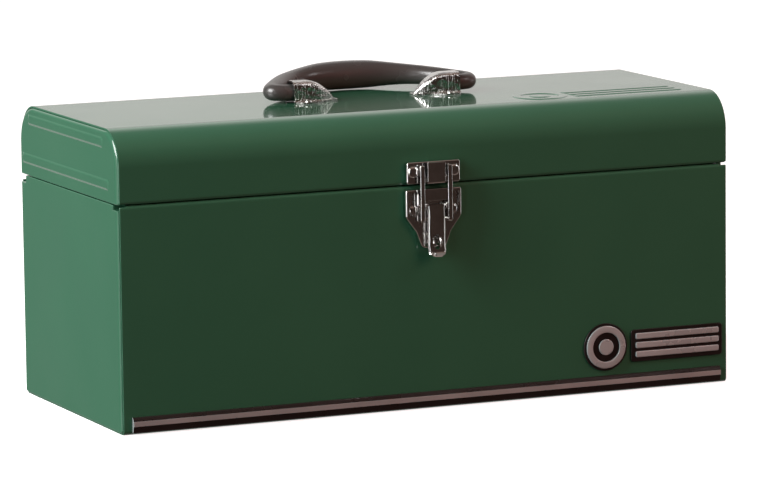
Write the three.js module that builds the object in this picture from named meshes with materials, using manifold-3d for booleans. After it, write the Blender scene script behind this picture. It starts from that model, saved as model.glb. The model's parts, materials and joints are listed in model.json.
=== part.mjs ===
// A portable steel tool box: a folded case, a hinged lid with a swing handle, and a draw latch.
// Millimetres, +X to the right along the box, +Y to the back, +Z up. The origin is the middle of
// the bottom sheet's underside, and every moving piece stands as it does with the lid latched.

import * as THREE from "three";
import { mergeVertices } from "three/addons/utils/BufferGeometryUtils.js";
import Module from "manifold-3d";

const wasm = await Module();
wasm.setup();

// Driving dimensions
const LENGTH = 508;
const WIDTH = 210;
const LID_TOP = 227.2;
const SHEET = 1.2;
const GAP = 0.3; // between pieces that touch
const CASE_TOP = 171.9; // folded front rim of the case
const CASE_REAR_TOP = 167.6; // the back wall stops lower, to make room for the hinge barrel
const LID_FOOT = 173.1; // folded front rim of the lid
const LID_REAR_FOOT = 172.4;
const LID_END_FOOT = 172.5;
const FRONT_NOTCH = 3.5; // depth of the notch in each end's top front corner
const LID_CORNER = 27.5; // outer radius of the lid's long edges
const RIM_WIDTH = 10;
const RIB_HEIGHT = 0.9; // pressed ribs of the lid's ends, whose crests are the ends of the length
const WRAP_INSET = 2.4; // the wraps' cut edges stop this far inside the length
const END_FLANGE = 8;
const HINGE = { y: 103.2, z: 170.05, barrel: 2, bore: 1.2, pin: 0.9, half: 243, knuckles: 10 };
const HANDLE = { y: 0, z: LID_TOP + 8.1, reach: 60.7, rise: Math.asin(3.5 / 60.7) };
const HOOD = { outer: 7.9, crown: 9.1, open: 70, round: 58, tip: 34, rivetX: 60, rivetY: 12 };
const LATCH = { front: -WIDTH / 2 - 6, axisY: -114, leverZ: 157, bailZ: 147 };
const TRAY = { halfX: 243, halfY: 93.5, floor: 119.5, top: 162 };

const halfLength = LENGTH / 2;
const wallMiddle = (WIDTH - SHEET) / 2;
const wallInside = WIDTH / 2 - SHEET;
const endFace = halfLength - RIB_HEIGHT;
const wrapEnd = halfLength - WRAP_INSET;
const fitWidth = wallInside - GAP; // half width of what fits between the walls

// Materials
function finish(color, roughness, metalness) {
  return new THREE.MeshStandardMaterial({ color, roughness, metalness });
}

const greenPaint = finish(0x14703f, 0.25, 0);
const chrome = finish(0xc9c6c4, 0.15, 1);
const zinc = finish(0x9a9a98, 0.4, 1);
const darkPlastic = finish(0x2e2523, 0.45, 0);
const trimMetal = finish(0x5c5452, 0.35, 0.8);
const badgeBlack = finish(0x141211, 0.4, 0);
const badgeSilver = finish(0x8d8583, 0.4, 0.8);

// Outlines: lists of 2-D points

// The corners [a, b, radius] joined up, with each corner that has a radius turned into an arc.
function roundedPath(corners, closed = false, steps = 5) {
  const count = corners.length;
  const place = (index) => new THREE.Vector2(...corners[(index + count) % count].slice(0, 2));
  return corners.flatMap(([, , radius = 0], index) => {
    const corner = place(index);
    const isEnd = !closed && (index === 0 || index === count - 1);
    if (isEnd || radius === 0) {
      return [corner];
    }
    const towardsLast = place(index - 1).sub(corner).normalize();
    const towardsNext = place(index + 1).sub(corner).normalize();
    const halfAngle = Math.acos(towardsLast.dot(towardsNext)) / 2;
    const middle = towardsLast.clone().add(towardsNext).normalize();
    const centre = corner.clone().addScaledVector(middle, radius / Math.sin(halfAngle));
    const start = corner.clone().addScaledVector(towardsLast, radius / Math.tan(halfAngle));
    const turn = Math.sign(towardsNext.cross(towardsLast)) * (Math.PI - 2 * halfAngle);
    return Array.from({ length: steps + 1 }, (_, step) =>
      start.clone().rotateAround(centre, (turn * step) / steps),
    );
  });
}

// The closed outline of a strip of even thickness whose middle follows an open path.
function ribbon(path, thickness) {
  const normals = path.slice(1).map((point, index) => {
    const along = point.clone().sub(path[index]).normalize();
    return new THREE.Vector2(-along.y, along.x);
  });
  const side = (offset) =>
    path.map((point, index) => {
      const before = normals[Math.max(index - 1, 0)];
      const after = normals[Math.min(index, normals.length - 1)];
      const mitre = before.clone().add(after).divideScalar(1 + before.dot(after));
      return point.clone().addScaledVector(mitre, offset);
    });
  return [...side(thickness / 2), ...side(-thickness / 2).reverse()];
}

function rectangle(a0, b0, a1, b1, radius = 0) {
  const corners = [[a0, b0, radius], [a1, b0, radius], [a1, b1, radius], [a0, b1, radius]];
  return roundedPath(corners, true, 4);
}

// Solids

function solid(geometry) {
  const bare = new THREE.BufferGeometry();
  bare.setAttribute("position", geometry.attributes.position);
  bare.setIndex(geometry.index);
  const merged = mergeVertices(bare, 1e-5);
  const vertProperties = new Float32Array(merged.attributes.position.array);
  const triVerts = new Uint32Array(merged.index.array);
  return new wasm.Manifold(new wasm.Mesh({ numProp: 3, vertProperties, triVerts }));
}

function extrude(outline, depth, axes, origin) {
  const geometry = new THREE.ExtrudeGeometry(new THREE.Shape(outline), { depth, bevelEnabled: false });
  const placed = new THREE.Matrix4().makeBasis(...axes).setPosition(origin);
  return solid(geometry.applyMatrix4(placed));
}

const X = new THREE.Vector3(1, 0, 0);
const Y = new THREE.Vector3(0, 1, 0);
const Z = new THREE.Vector3(0, 0, 1);

// A (y, z) outline between two places along X
function alongX(outline, x0, x1) {
  return extrude(outline, x1 - x0, [Y, Z, X], X.clone().multiplyScalar(x0));
}

// An (x, z) outline between two places along Y
function alongY(outline, y0, y1) {
  return extrude(outline, y1 - y0, [X, Z, Y.clone().negate()], Y.clone().multiplyScalar(y1));
}

// An (x, y) outline between two places along Z
function alongZ(outline, z0, z1) {
  return extrude(outline, z1 - z0, [X, Y, Z], Z.clone().multiplyScalar(z0));
}

function block(x0, y0, z0, x1, y1, z1) {
  return alongZ(rectangle(x0, y0, x1, y1), z0, z1);
}

function circle(a, b, radius, sides = 16) {
  return Array.from({ length: sides }, (_, side) => {
    const angle = (side / sides) * 2 * Math.PI;
    return new THREE.Vector2(a + radius * Math.cos(angle), b + radius * Math.sin(angle));
  });
}

function join(...bodies) {
  return bodies.reduce((whole, body) => whole.add(body));
}

function cut(body, ...tools) {
  return tools.reduce((left, tool) => left.subtract(tool), body);
}

// A closed skin over a row of rings of points, each ring with the same number of points.
function loft(rings) {
  const sides = rings[0].length;
  const corner = (ring, side) => ring * sides + (side % sides);
  const sideIndices = Array.from({ length: sides }, (_, side) => side);
  const index = [];
  for (let ring = 0; ring < rings.length - 1; ring += 1) {
    for (const side of sideIndices) {
      index.push(corner(ring, side), corner(ring + 1, side), corner(ring, side + 1));
      index.push(corner(ring, side + 1), corner(ring + 1, side), corner(ring + 1, side + 1));
    }
  }
  for (const side of sideIndices.slice(1, -1)) {
    const last = rings.length - 1;
    index.push(corner(0, 0), corner(0, side), corner(0, side + 1));
    index.push(corner(last, 0), corner(last, side + 1), corner(last, side));
  }
  const geometry = new THREE.BufferGeometry().setFromPoints(rings.flat());
  geometry.setIndex(index);
  return solid(geometry);
}

// Scene graph
const toolBox = new THREE.Group();

function add(name, body, material) {
  const { vertProperties, triVerts, numProp } = body.getMesh();
  const geometry = new THREE.BufferGeometry();
  const positions = new THREE.InterleavedBuffer(vertProperties, numProp);
  geometry.setAttribute("position", new THREE.InterleavedBufferAttribute(positions, 3, 0));
  geometry.setIndex(new THREE.BufferAttribute(triVerts, 1));
  geometry.computeVertexNormals();
  const mesh = new THREE.Mesh(geometry, material);
  mesh.name = name;
  toolBox.add(mesh);
}

// A round-headed rivet that points along a direction: domed head, shank, and a flat set tail.
// The profile gives [radius, height] above the face under the head.
function rivet(place, direction, head, grip) {
  const shank = head * 0.36;
  const tail = head * 0.62;
  const dome = Array.from({ length: 5 }, (_, step) => {
    const angle = (step / 4) * (Math.PI / 2);
    return new THREE.Vector2(head * Math.cos(angle), GAP + head * 0.5 * Math.sin(angle));
  });
  dome[4].x = 0;
  const lower = [
    [0, -grip - 1.4], [tail, -grip - 1.4], [tail, -grip - GAP], [shank, -grip - GAP], [shank, GAP],
  ];
  const profile = [...lower.map(([radius, height]) => new THREE.Vector2(radius, height)), ...dome];
  const geometry = new THREE.LatheGeometry(profile, 16);
  const turned = new THREE.Quaternion().setFromUnitVectors(Y, direction);
  return solid(geometry.applyQuaternion(turned).translate(...place));
}

function rivetHole(place, direction, head) {
  const hole = new THREE.CylinderGeometry(head * 0.36 + GAP, head * 0.36 + GAP, 8, 16);
  const turned = new THREE.Quaternion().setFromUnitVectors(Y, direction);
  return solid(hole.applyQuaternion(turned).translate(...place));
}

const FRONT = new THREE.Vector3(0, -1, 0);
const SIDES = [-1, 1];
const latchHead = 4.5;
const hoodHead = 3;
const baseRivets = { x: 16.5, z: 153.5 };
const catchRivets = { x: 17, z: 183 };
const wallFront = -WIDTH / 2;
const padFace = wallFront - GAP - SHEET; // front of a stamping's seat on the front wall
const hoodRivetPlaces = SIDES.flatMap((end) =>
  SIDES.map((side) => [end * HOOD.rivetX, HANDLE.y + side * HOOD.rivetY]),
);

function latchHoles({ x, z }, y) {
  return SIDES.map((side) => rivetHole([side * x, y, z], FRONT, latchHead));
}

function latchDiscs({ x, z }, radius, y0, y1) {
  return SIDES.map((side) => alongY(circle(side * x, z, radius), y0, y1));
}

// Case

function caseWrap() {
  const path = roundedPath([
    [wallFront + RIM_WIDTH, CASE_TOP - SHEET / 2],
    [-wallMiddle, CASE_TOP - SHEET / 2, 2],
    [-wallMiddle, SHEET / 2, 3],
    [wallMiddle, SHEET / 2, 3],
    [wallMiddle, CASE_REAR_TOP],
  ]);
  const body = alongX(ribbon(path, SHEET), -wrapEnd, wrapEnd);
  const rimEnd = 246;
  const relief = (x0, x1) =>
    block(x0, -wallInside, CASE_TOP - FRONT_NOTCH, x1, wallFront + RIM_WIDTH + 1, CASE_TOP + 1);
  const reliefs = [relief(-halfLength - 1, -rimEnd), relief(rimEnd, halfLength + 1)];
  return cut(body, ...reliefs, ...latchHoles(baseRivets, wallFront));
}

// An end panel is a shallow pan: a plate with its whole edge turned inwards.
function pan(side, outline, inner) {
  const outside = side * endFace;
  const inside = side * (endFace - SHEET);
  const mouth = side * (endFace - END_FLANGE);
  const shell = alongX(outline, Math.min(outside, mouth), Math.max(outside, mouth));
  const past = mouth - side;
  return cut(shell, alongX(inner, Math.min(inside, past), Math.max(inside, past)));
}

function caseEnd(side) {
  const notchY = 94; // the top corners are notched, for the folded rim and the hinge barrel
  const rearNotch = 166.5;
  const outline = (offset) => roundedPath([
    [-fitWidth + offset, SHEET + GAP + offset, 3],
    [fitWidth - offset, SHEET + GAP + offset, 3],
    [fitWidth - offset, rearNotch - offset],
    [notchY - offset, rearNotch - offset],
    [notchY - offset, CASE_TOP - offset],
    [-notchY + offset, CASE_TOP - offset],
    [-notchY + offset, CASE_TOP - FRONT_NOTCH - offset],
    [-fitWidth + offset, CASE_TOP - FRONT_NOTCH - offset],
  ], true);
  return pan(side, outline(0), outline(SHEET));
}

// An angle welded to an end panel, which the tray rests on
function trayRail(side) {
  const upright = side * (endFace - SHEET - GAP - SHEET / 2);
  const shelf = TRAY.floor - GAP - SHEET / 2;
  const corners = [[upright, 100], [upright, shelf], [side * 236, shelf]];
  const path = corners.map((corner) => new THREE.Vector2(...corner));
  return alongY(ribbon(path, SHEET), -88, 88);
}

// A hinge leaf: a flat strip with every second knuckle of the barrel
function hingeLeaf(first, low, high) {
  const pitch = (2 * HINGE.half) / HINGE.knuckles;
  const plate = block(-HINGE.half, fitWidth - SHEET, low, HINGE.half, fitWidth, high);
  const start = (index) => -HINGE.half + index * pitch;
  const indices = Array.from({ length: HINGE.knuckles }, (_, index) => index);
  const own = indices.filter((index) => index % 2 === first);
  const others = indices.filter((index) => index % 2 !== first);
  const knuckles = own.map((index) =>
    alongX(circle(HINGE.y, HINGE.z, HINGE.barrel), start(index) + GAP, start(index) + pitch - GAP),
  );
  const room = HINGE.barrel + GAP;
  const rooms = others.map((index) =>
    block(start(index) - GAP, 98, HINGE.z - room, start(index) + pitch + GAP, 107, HINGE.z + room),
  );
  const bore = alongX(circle(HINGE.y, HINGE.z, HINGE.bore), -halfLength, halfLength);
  return cut(join(plate, ...knuckles), ...rooms, bore);
}

// Latch base on the case: a raised pan that narrows downwards, with two sunk rivet seats and two
// ears that carry the lever's pin.
function latchBase() {
  const half = [[23, 169.5, 2], [23, 151, 2], [14, 138, 12], [10, 124.5, 4]];
  const outline = (inset) => {
    const shifts = [-inset, 0, 0, inset];
    const right = half.map(([x, z, radius], index) => [x - inset, z + shifts[index], radius]);
    const left = right.map(([x, z, radius]) => [-x, z, radius]).reverse();
    return roundedPath([...right, ...left], true, 4);
  };
  const skin = cut(
    alongY(outline(0), LATCH.front, wallFront - GAP),
    alongY(outline(SHEET), LATCH.front + SHEET, 0),
  );
  const seats = latchDiscs(baseRivets, 5.9, LATCH.front, wallFront - GAP);
  const wells = latchDiscs(baseRivets, 5, LATCH.front - 1, padFace);
  const earOutline = roundedPath([
    [LATCH.front + SHEET, LATCH.leverZ - 3],
    [LATCH.axisY - 2.6, LATCH.leverZ - 3, 2.6],
    [LATCH.axisY - 2.6, LATCH.leverZ + 2.8, 2.6],
    [LATCH.front + SHEET, LATCH.leverZ + 2.8],
  ], true, 4);
  const ears = [alongX(earOutline, -9.1, -7.9), alongX(earOutline, 7.9, 9.1)];
  const pinHole = alongX(circle(LATCH.axisY, LATCH.leverZ, 1.5), -12, 12);
  return cut(join(skin, ...seats, ...ears), ...wells, ...latchHoles(baseRivets, wallFront), pinHole);
}

// The loop on the base that passes through the lever's slot, for a padlock
function padlockStaple() {
  const outline = roundedPath([
    [LATCH.front - GAP, 125.8], [-124.3, 125.8, 4.1], [-124.3, 134.2, 4.1], [LATCH.front - GAP, 134.2],
  ], true);
  return cut(alongX(outline, -0.9, 0.9), alongX(circle(-120.1, 130, 3.2), -2, 2));
}

function latchLever() {
  const path = roundedPath([
    [-114.6, 158.5], [-115.9, 157.4, 0.9], [-115.9, 126, 6], [-117.4, 120.5, 3], [-120.4, 118.6],
  ]);
  const plate = alongX(ribbon(path, SHEET), -7, 7);
  const flangeOutline = rectangle(-115.6, 144.2, -112.2, 158.8, 1.3);
  const flanges = [alongX(flangeOutline, -7, -5.8), alongX(flangeOutline, 5.8, 7)];
  const slot = alongY(rectangle(-2, 123.8, 2, 135.4, 1), -119, -110);
  const pinHoles = [LATCH.leverZ, LATCH.bailZ].map((z) => alongX(circle(LATCH.axisY, z, 1.5), -9, 9));
  return cut(join(plate, ...flanges), slot, ...pinHoles);
}

// The bail: two rails from the lever up past the lid's hook, tied by a web. The bar under the hook
// is left open in the middle, so that its two stubs only reach the hook's sides.
function latchBail() {
  const rail = roundedPath([
    [-116.3, 144.4, 2.2], [-112.3, 144.4, 1.5], [-112.3, 188, 1], [-116.3, 188, 2],
  ], true, 4);
  const rails = [alongX(rail, -13.2, -9.6), alongX(rail, 9.6, 13.2)];
  const web = block(-10, -115.9, 161, 10, -115.9 + SHEET, 170);
  const stubs = [block(-10, -114.9, 176, -7.9, -112.6, 179), block(7.9, -114.9, 176, 10, -112.6, 179)];
  const pinHole = alongX(circle(LATCH.axisY, LATCH.bailZ, 1.5), -15, 15);
  return cut(join(web, ...rails, ...stubs), pinHole);
}

function pin(z, reach) {
  return alongX(circle(LATCH.axisY, z, 1.15), -reach, reach);
}

// A low moulding with a raised stripe along its middle
function frontTrim() {
  const back = wallFront - GAP;
  const proud = 3.4;
  const outline = roundedPath([
    [back, 1.6], [back - 1.4, 1.6], [back - proud + 0.9, 4.2], [back - proud + 0.5, 5.3],
    [back - proud, 5.9], [back - proud, 8.7], [back - proud + 0.5, 9.2], [back - proud + 0.9, 11.2],
    [back - 1.6, 13.5], [back, 13.5],
  ], true);
  return alongX(outline, -245, 245);
}

function addBadge() {
  const back = wallFront - GAP;
  const face = back - 1.4;
  const relief = [face - GAP - 1.3, face - GAP];
  const round = (radius, y0, y1) => alongY(circle(146, 36, radius, 32), y0, y1);
  add("badge_disc", round(18.5, face, back), badgeBlack);
  add("badge_ring", cut(round(16.6, ...relief), round(11.4, relief[0] - 1, back)), badgeSilver);
  add("badge_boss", round(6.2, ...relief), badgeSilver);
  add("badge_plate", alongY(rectangle(168, 22.5, 247, 47.5, 2.5), face, back), badgeBlack);
  [26, 33.1, 40.2].forEach((z, index) => {
    const bar = rectangle(171.5, z, 243.5, z + 4.6, 1);
    add(`badge_bar_${index + 1}`, alongY(bar, ...relief), badgeSilver);
  });
}

// Lid

function lidWrap() {
  const top = LID_TOP - SHEET / 2;
  const path = roundedPath([
    [wallFront + RIM_WIDTH, LID_FOOT + SHEET / 2],
    [-wallMiddle, LID_FOOT + SHEET / 2, 2],
    [-wallMiddle, top, LID_CORNER - SHEET / 2],
    [wallMiddle, top, LID_CORNER - SHEET / 2],
    [wallMiddle, LID_REAR_FOOT],
  ], false, 8);
  const body = alongX(ribbon(path, SHEET), -wrapEnd, wrapEnd);
  const rimEnd = 244;
  const relief = (x0, x1) =>
    block(x0, -wallInside, LID_FOOT - 1, x1, wallFront + RIM_WIDTH + 1, LID_FOOT + 3);
  const reliefs = [relief(-halfLength - 1, -rimEnd), relief(rimEnd, halfLength + 1)];
  const hoodHoles = hoodRivetPlaces.map(([x, y]) => rivetHole([x, y, LID_TOP], Z, hoodHead));
  return cut(body, ...reliefs, ...latchHoles(catchRivets, wallFront), ...hoodHoles);
}

function lidEnd(side) {
  const corner = LID_CORNER - SHEET - GAP;
  const top = LID_TOP - SHEET - GAP;
  const outline = (offset) => roundedPath([
    [-fitWidth + offset, LID_END_FOOT + offset, 1.5],
    [fitWidth - offset, LID_END_FOOT + offset, 1.5],
    [fitWidth - offset, top - offset, corner - offset],
    [-fitWidth + offset, top - offset, corner - offset],
  ], true, 7);
  const rib = (y0, y1, z) => {
    const reach = [side * (endFace - SHEET / 2), side * halfLength].sort((a, b) => a - b);
    return alongX(rectangle(y0, z, y1, z + 6.4, 3), ...reach);
  };
  return join(pan(side, outline(0), outline(SHEET)), rib(-86, 98, 182.5), rib(-75, 84, 213.3));
}

// Catch on the lid: a raised pan whose middle strip turns out and up into a hook
function latchCatch() {
  const foot = LID_FOOT + 0.6;
  const head = 190.5;
  const skin = cut(
    alongY(rectangle(-22, foot, 22, head, 1.5), LATCH.front, wallFront - GAP),
    alongY(rectangle(-22 + SHEET, foot + SHEET, 22 - SHEET, head - SHEET, 0.8), LATCH.front + SHEET, 0),
  );
  const seats = latchDiscs(catchRivets, 2.8, LATCH.front, wallFront - GAP);
  const hookPath = roundedPath([
    [LATCH.front + SHEET, foot + SHEET / 2], [-115.9, foot + SHEET / 2, 1.6], [-115.9, head - 0.3],
  ]);
  const hook = alongX(ribbon(hookPath, SHEET), -7.3, 7.3);
  return cut(join(skin, hook, ...seats), ...latchHoles(catchRivets, wallFront - 2));
}

// A stamped hood that holds one toe of the handle against the lid. It is a half tube, open at the
// box's end, and rounds down to a point at the middle, with a foot plate riveted to the lid.
function hood(end) {
  const base = LID_TOP + GAP;
  const blunt = (value) => Math.sign(value) * Math.abs(value) ** 0.8;
  const arch = (x, radius, scale) => {
    const rise = HANDLE.z - base;
    const height = HOOD.crown + radius - HOOD.outer;
    const half = Array.from({ length: 13 }, (_, step) => {
      const angle = (step / 12) * Math.PI;
      return [radius * blunt(Math.cos(angle)), rise + height * blunt(Math.sin(angle))];
    });
    const points = [[radius, 0], ...half, [-radius, 0]];
    return points.map(([y, z]) => new THREE.Vector3(end * x, HANDLE.y + y * scale, base + z * scale));
  };
  const innerTip = 41;
  const dome = (x) => Math.max(1 - ((HOOD.round - x) / (HOOD.round - HOOD.tip)) ** 1.75, 0.1);
  const stations = [HOOD.round, 54, 50.5, 47, 44, innerTip, 38.5, 36, HOOD.tip];
  const skin = (radius, mouth, clip) => {
    const places = stations.filter((x) => x >= clip);
    const rings = [arch(mouth, radius, 1), ...places.map((x) => arch(x, radius, dome(x)))];
    return loft(end < 0 ? rings.reverse() : rings);
  };
  const hollow = skin(HOOD.outer - SHEET, HOOD.open + 1, innerTip);
  const shell = cut(skin(HOOD.outer, HOOD.open, HOOD.tip), hollow);
  const halfFoot = [[69, 8.6, 3], [67, 16, 3], [54, 16, 4], [46, 8, 6], [31, 4.6, 4]];
  const front = halfFoot.map(([x, y, radius]) => [end * x, HANDLE.y - y, radius]);
  const back = halfFoot.map(([x, y, radius]) => [end * x, HANDLE.y + y, radius]).reverse();
  const foot = cut(alongZ(roundedPath([...front, ...back], true, 3), base, base + SHEET), hollow);
  const holes = hoodRivetPlaces.map(([x, y]) => rivetHole([x, y, LID_TOP], Z, hoodHead));
  return cut(join(shell, foot), ...holes);
}

// The handle is one moulding: a bow whose ends curl round and point inwards along the swing axis.
// Each station is [x, distance from the axis, radius].
function handleGrip() {
  const half = [
    [56, 0, 5.6], [57, 0, 6.2], [64, 0, 6.2], [70, 0, 6.2], [75, 0.4, 6.2], [80.4, 2.4, 6.3],
    [82.8, 6, 6.4], [81, 11.5, 6.5], [77.4, 17, 6.6], [73.8, 22, 6.8], [69, 28.5, 7], [64, 34.8, 7.2],
    [58, 41, 7.5], [50.5, 47, 7.9], [42, 52, 8.6], [32, 56.2, 9.6], [22, 58.9, 10.6], [11, 60.3, 11.2],
  ];
  const stations = [...half, [0, HANDLE.reach, 11.4], ...half.map(([x, u, r]) => [-x, u, r]).reverse()];
  const towardsBack = new THREE.Vector3(0, Math.cos(HANDLE.rise), Math.sin(HANDLE.rise));
  const upward = new THREE.Vector3().crossVectors(X, towardsBack);
  const places = stations.map(([x, u]) =>
    new THREE.Vector3(x, HANDLE.y, HANDLE.z).addScaledVector(towardsBack, u),
  );
  const rings = stations.map(([, , radius], index) => {
    const before = places[Math.max(index - 1, 0)];
    const after = places[Math.min(index + 1, places.length - 1)];
    const across = after.clone().sub(before).normalize().cross(upward);
    return circle(0, 0, radius, 14).map((point) =>
      places[index].clone().addScaledVector(across, point.x).addScaledVector(upward, point.y),
    );
  });
  return loft(rings);
}

// Tray

function trayPan() {
  const outside = rectangle(-TRAY.halfX, -TRAY.halfY, TRAY.halfX, TRAY.halfY, 6);
  const [insideX, insideY] = [TRAY.halfX - SHEET, TRAY.halfY - SHEET];
  const inside = rectangle(-insideX, -insideY, insideX, insideY, 5);
  return cut(alongZ(outside, TRAY.floor, TRAY.top), alongZ(inside, TRAY.floor + SHEET, TRAY.top + 1));
}

function trayHandle() {
  const seat = TRAY.floor + SHEET + GAP + 0.8;
  const path = roundedPath([
    [-76, seat], [-60, seat, 2], [-60, 175, 14], [60, 175, 14], [60, seat, 2], [76, seat],
  ]);
  return alongY(ribbon(path, 1.6), -9, 9);
}

function trayDivider(x) {
  const seat = TRAY.floor + SHEET + GAP;
  const reach = TRAY.halfY - SHEET - GAP;
  const path = roundedPath([[x - 9, seat + SHEET / 2], [x, seat + SHEET / 2, 1.5], [x, 156]]);
  return alongY(ribbon(path, SHEET), -reach, reach);
}

// Assembly

add("case_wrap", caseWrap(), greenPaint);
add("case_end_left", caseEnd(-1), greenPaint);
add("case_end_right", caseEnd(1), greenPaint);
add("tray_rail_left", trayRail(-1), greenPaint);
add("tray_rail_right", trayRail(1), greenPaint);
add("hinge_leaf_case", hingeLeaf(0, 150, HINGE.z - 1), zinc);
add("hinge_leaf_lid", hingeLeaf(1, HINGE.z + 1, 190), zinc);
const pinReach = HINGE.half + 0.5;
add("hinge_pin", alongX(circle(HINGE.y, HINGE.z, HINGE.pin), -pinReach, pinReach), zinc);
add("front_trim", frontTrim(), trimMetal);
addBadge();

add("latch_base", latchBase(), chrome);
add("padlock_staple", padlockStaple(), chrome);
add("lever_pin", pin(LATCH.leverZ, 9.3), chrome);
add("latch_lever", latchLever(), chrome);
add("bail_pin", pin(LATCH.bailZ, 13.2), chrome);
add("latch_bail", latchBail(), chrome);
add("latch_catch", latchCatch(), chrome);

add("lid_wrap", lidWrap(), greenPaint);
add("lid_end_left", lidEnd(-1), greenPaint);
add("lid_end_right", lidEnd(1), greenPaint);
add("handle_hood_left", hood(-1), chrome);
add("handle_hood_right", hood(1), chrome);
add("handle_grip", handleGrip(), darkPlastic);

for (const [name, side] of [["left", -1], ["right", 1]]) {
  const basePlace = [side * baseRivets.x, padFace, baseRivets.z];
  const catchPlace = [side * catchRivets.x, LATCH.front, catchRivets.z];
  add(`base_rivet_${name}`, rivet(basePlace, FRONT, latchHead, 2 * SHEET + GAP), chrome);
  add(`catch_rivet_${name}`, rivet(catchPlace, FRONT, latchHead, 6 + SHEET), chrome);
}
hoodRivetPlaces.forEach(([x, y], index) => {
  const place = [x, y, LID_TOP + GAP + SHEET];
  add(`hood_rivet_${index + 1}`, rivet(place, Z, hoodHead, 2 * SHEET + GAP), chrome);
});

add("tray_pan", trayPan(), greenPaint);
add("tray_handle", trayHandle(), zinc);
add("tray_divider_left", trayDivider(-95), greenPaint);
add("tray_divider_right", trayDivider(95), greenPaint);

export default toolBox;
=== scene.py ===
"""A folded-steel tool box: enamelled case and lid, plated latch and hoods, and a moulded handle.

Shapes are worked out in millimetres in the CAD model's own frame and scaled when each piece is made.
"""

import json
import math

import bmesh
import bpy
from mathutils import Matrix, Vector
from mathutils.geometry import tessellate_polygon


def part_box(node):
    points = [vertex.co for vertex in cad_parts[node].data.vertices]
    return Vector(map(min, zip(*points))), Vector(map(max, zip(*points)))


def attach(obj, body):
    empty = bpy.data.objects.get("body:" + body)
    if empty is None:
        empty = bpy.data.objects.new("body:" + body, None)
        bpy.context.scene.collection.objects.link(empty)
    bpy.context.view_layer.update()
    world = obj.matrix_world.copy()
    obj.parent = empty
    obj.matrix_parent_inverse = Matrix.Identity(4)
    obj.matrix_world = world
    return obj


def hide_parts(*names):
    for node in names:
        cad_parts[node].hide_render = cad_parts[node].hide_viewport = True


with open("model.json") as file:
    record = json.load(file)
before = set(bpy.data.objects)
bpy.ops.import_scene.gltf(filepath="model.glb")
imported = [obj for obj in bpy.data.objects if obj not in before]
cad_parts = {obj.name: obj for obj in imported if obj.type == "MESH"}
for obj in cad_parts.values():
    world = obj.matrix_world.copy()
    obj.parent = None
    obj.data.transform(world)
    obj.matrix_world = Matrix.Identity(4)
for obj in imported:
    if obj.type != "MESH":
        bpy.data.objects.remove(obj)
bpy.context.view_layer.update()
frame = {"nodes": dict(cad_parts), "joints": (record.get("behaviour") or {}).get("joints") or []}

# ---------------------------------------------------------------- sizes, from the frame

MM = 0.001
SHEET = 1.2
GAP = 0.3


def extent(node):
    """Lowest and highest corner of a CAD node, in millimetres."""
    low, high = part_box(node)
    return low / MM, high / MM


case_low, case_high = extent("case_wrap")
lid_low, lid_high = extent("lid_wrap")
case_end_low, case_end_high = extent("case_end_right")
lid_end_low, lid_end_high = extent("lid_end_right")
base_low, base_high = extent("latch_base")
catch_low, catch_high = extent("latch_catch")
bail_low, bail_high = extent("latch_bail")
joints = {joint["name"]: Vector(joint["pos_m"]) / MM for joint in frame["joints"] if "pos_m" in joint}

HALF_LENGTH = case_high.x  # to the wraps' cut edges
WALL = case_high.y - SHEET / 2  # middle of the front and back walls' sheet
FRONT = case_low.y
END_FACE = case_end_high.x
LID_TOP = lid_high.z
LID_BEND = 26.9
RIM = 10  # depth of the folded rims
FRONT_NOTCH = 3.5  # how far the case's rim is cut down at its ends
LATCH_FACE = FRONT - 6  # front of the latch's plates
LEVER_FACE = -115.9  # middle of the lever's sheet


# ---------------------------------------------------------------- outlines

def rounded(corners, closed=False, steps=6):
    """2-D points through the corners (a, b) or (a, b, radius), with an arc at each that has a radius."""
    points = []
    count = len(corners)
    for index, corner in enumerate(corners):
        here = Vector(corner[:2])
        radius = corner[2] if len(corner) > 2 else 0
        if radius == 0 or (not closed and index in (0, count - 1)):
            points.append(here)
            continue
        last = (Vector(corners[index - 1][:2]) - here).normalized()
        following = (Vector(corners[(index + 1) % count][:2]) - here).normalized()
        half = last.angle(following) / 2
        centre = here + (last + following).normalized() * (radius / math.sin(half))
        start = here + last * (radius / math.tan(half)) - centre
        turn = math.copysign(math.pi - 2 * half, following.x * last.y - following.y * last.x)
        for step in range(steps + 1):
            angle = turn * step / steps
            cosine, sine = math.cos(angle), math.sin(angle)
            turned = Vector((start.x * cosine - start.y * sine, start.x * sine + start.y * cosine))
            points.append(centre + turned)
    return points


def box_outline(a0, b0, a1, b1, radius, steps=6):
    return rounded([(a0, b0, radius), (a1, b0, radius), (a1, b1, radius), (a0, b1, radius)], True, steps)


def circle(a, b, radius, sides=48):
    turns = [2 * math.pi * side / sides for side in range(sides)]
    return [Vector((a + radius * math.cos(turn), b + radius * math.sin(turn))) for turn in turns]


def smooth(share):
    """0 to 1 with level ends, for a share from 0 to 1."""
    share = min(max(share, 0), 1)
    return share * share * (3 - 2 * share)


# ---------------------------------------------------------------- meshes

def row(bm, points):
    return [bm.verts.new(point) for point in points]


def bridge(bm, rows, closed=True):
    for one, two in zip(rows, rows[1:]):
        for index in range(len(one) if closed else len(one) - 1):
            after = (index + 1) % len(one)
            bm.faces.new((one[index], one[after], two[after], two[index]))


def loft(bm, rings):
    """A closed solid through a list of rings of points."""
    rows = [row(bm, ring) for ring in rings]
    bridge(bm, rows)
    for ends in (rows[0], rows[-1]):
        bm.faces.new(ends)


def fill(bm, *loops):
    """Flat faces inside the first loop of vertices and outside the others."""
    vertices = [vertex for loop in loops for vertex in loop]
    for triangle in tessellate_polygon([[vertex.co for vertex in loop] for loop in loops]):
        bm.faces.new([vertices[index] for index in triangle])


def place_x(outline, x):
    return [(x, a, b) for a, b in outline]


def place_y(outline, y):
    return [(a, y, b) for a, b in outline]


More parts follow.
